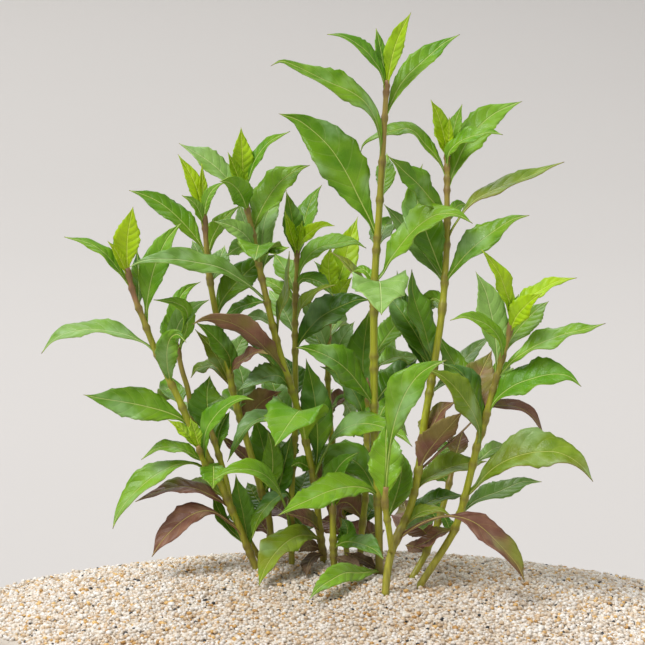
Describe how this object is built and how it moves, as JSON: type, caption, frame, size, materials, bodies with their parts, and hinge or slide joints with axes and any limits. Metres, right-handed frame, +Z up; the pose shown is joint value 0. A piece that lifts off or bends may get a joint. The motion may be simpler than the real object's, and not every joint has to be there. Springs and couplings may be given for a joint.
{
  "type": "potted cardinal flower",
  "caption": "Clump of leafy cardinal flower stems, as grown for a planted aquarium, standing in coarse sand in a plain oval bowl",
  "frame": {"origin": "the middle of the pot's flat underside", "axes": "+Z is up through the middle of the oval pot, +X is along its length, and -Y is the front that the plant is seen from"},
  "size_m": [0.376, 0.24, 0.3624],
  "materials": {
    "leaf_green": "smooth leaf, soft sheen",
    "leaf_dark": "smooth leaf in deep green",
    "leaf_pale": "smooth leaf with a bluish sheen",
    "leaf_fresh": "young leaf in bright green",
    "leaf_olive": "smooth olive leaf",
    "leaf_bronze": "bronze-purple underside with an olive midrib",
    "stem": "smooth juicy stem, olive to brown-purple",
    "sand": "coarse rounded grains, tan, white, orange and black",
    "pot": "plain unglazed stoneware"
  },
  "bodies": {
    "root": {"back_centre_stem": "stem", "back_right_stem": "stem", "centre_stem": "stem", "centre_stem_leaf_1": "leaf_dark", "centre_stem_leaf_2": "leaf_dark", "centre_stem_leaf_6": "leaf_fresh", "centre_stem_leaf_8": "leaf_dark", "far_left_stem": "stem", "far_left_stem_leaf_11": "leaf_green", "far_left_stem_leaf_14": "leaf_bronze", "far_left_stem_leaf_6": "leaf_fresh", "far_left_stem_leaf_7": "leaf_pale", "far_left_stem_leaf_9": "leaf_green", "far_right_stem": "stem", "far_right_stem_leaf_10": "leaf_olive", "far_right_stem_leaf_11": "leaf_pale", "far_right_stem_leaf_13": "leaf_olive", "far_right_stem_leaf_5": "leaf_pale", "far_right_stem_leaf_7": "leaf_green", "far_right_stem_leaf_8": "leaf_green", "far_right_stem_leaf_9": "leaf_fresh", "front_shoot": "stem", "left_back_stem": "stem", "left_centre_stem": "stem", "left_centre_stem_leaf_13": "leaf_pale", "left_centre_stem_leaf_16": "leaf_bronze", "left_centre_stem_leaf_21": "leaf_dark", "left_centre_stem_leaf_22": "leaf_green", "left_centre_stem_leaf_23": "leaf_fresh", "left_centre_stem_leaf_24": "leaf_olive", "left_centre_stem_leaf_6": "leaf_green", "left_centre_stem_leaf_7": "leaf_pale", "left_inner_stem": "stem", "left_inner_stem_leaf_5": "leaf_green", "left_inner_stem_leaf_9": "leaf_dark", "pot": "pot", "rear_stem": "stem", "rear_stem_leaf_1": "leaf_dark", "right_branch_leaf_1": "leaf_green", "right_stem": "stem", "right_stem_leaf_10": "leaf_olive", "right_stem_leaf_11": "leaf_green", "right_stem_leaf_14": "leaf_dark", "right_stem_leaf_15": "leaf_dark", "right_stem_leaf_20": "leaf_olive", "right_stem_leaf_24": "leaf_bronze", "right_stem_leaf_25": "leaf_bronze", "right_stem_leaf_6": "leaf_fresh", "right_stem_leaf_8": "leaf_green", "right_stem_leaf_9": "leaf_green", "sand": "sand", "tall_stem": "stem", "tall_stem_leaf_10": "leaf_green", "tall_stem_leaf_16": "leaf_green", "tall_stem_leaf_17": "leaf_dark", "tall_stem_leaf_4": "leaf_fresh", "tall_stem_leaf_5": "leaf_green", "tall_stem_leaf_7": "leaf_green", "tall_stem_leaf_8": "leaf_green", "tall_stem_leaf_9": "leaf_pale"}
  },
  "joints": []
}
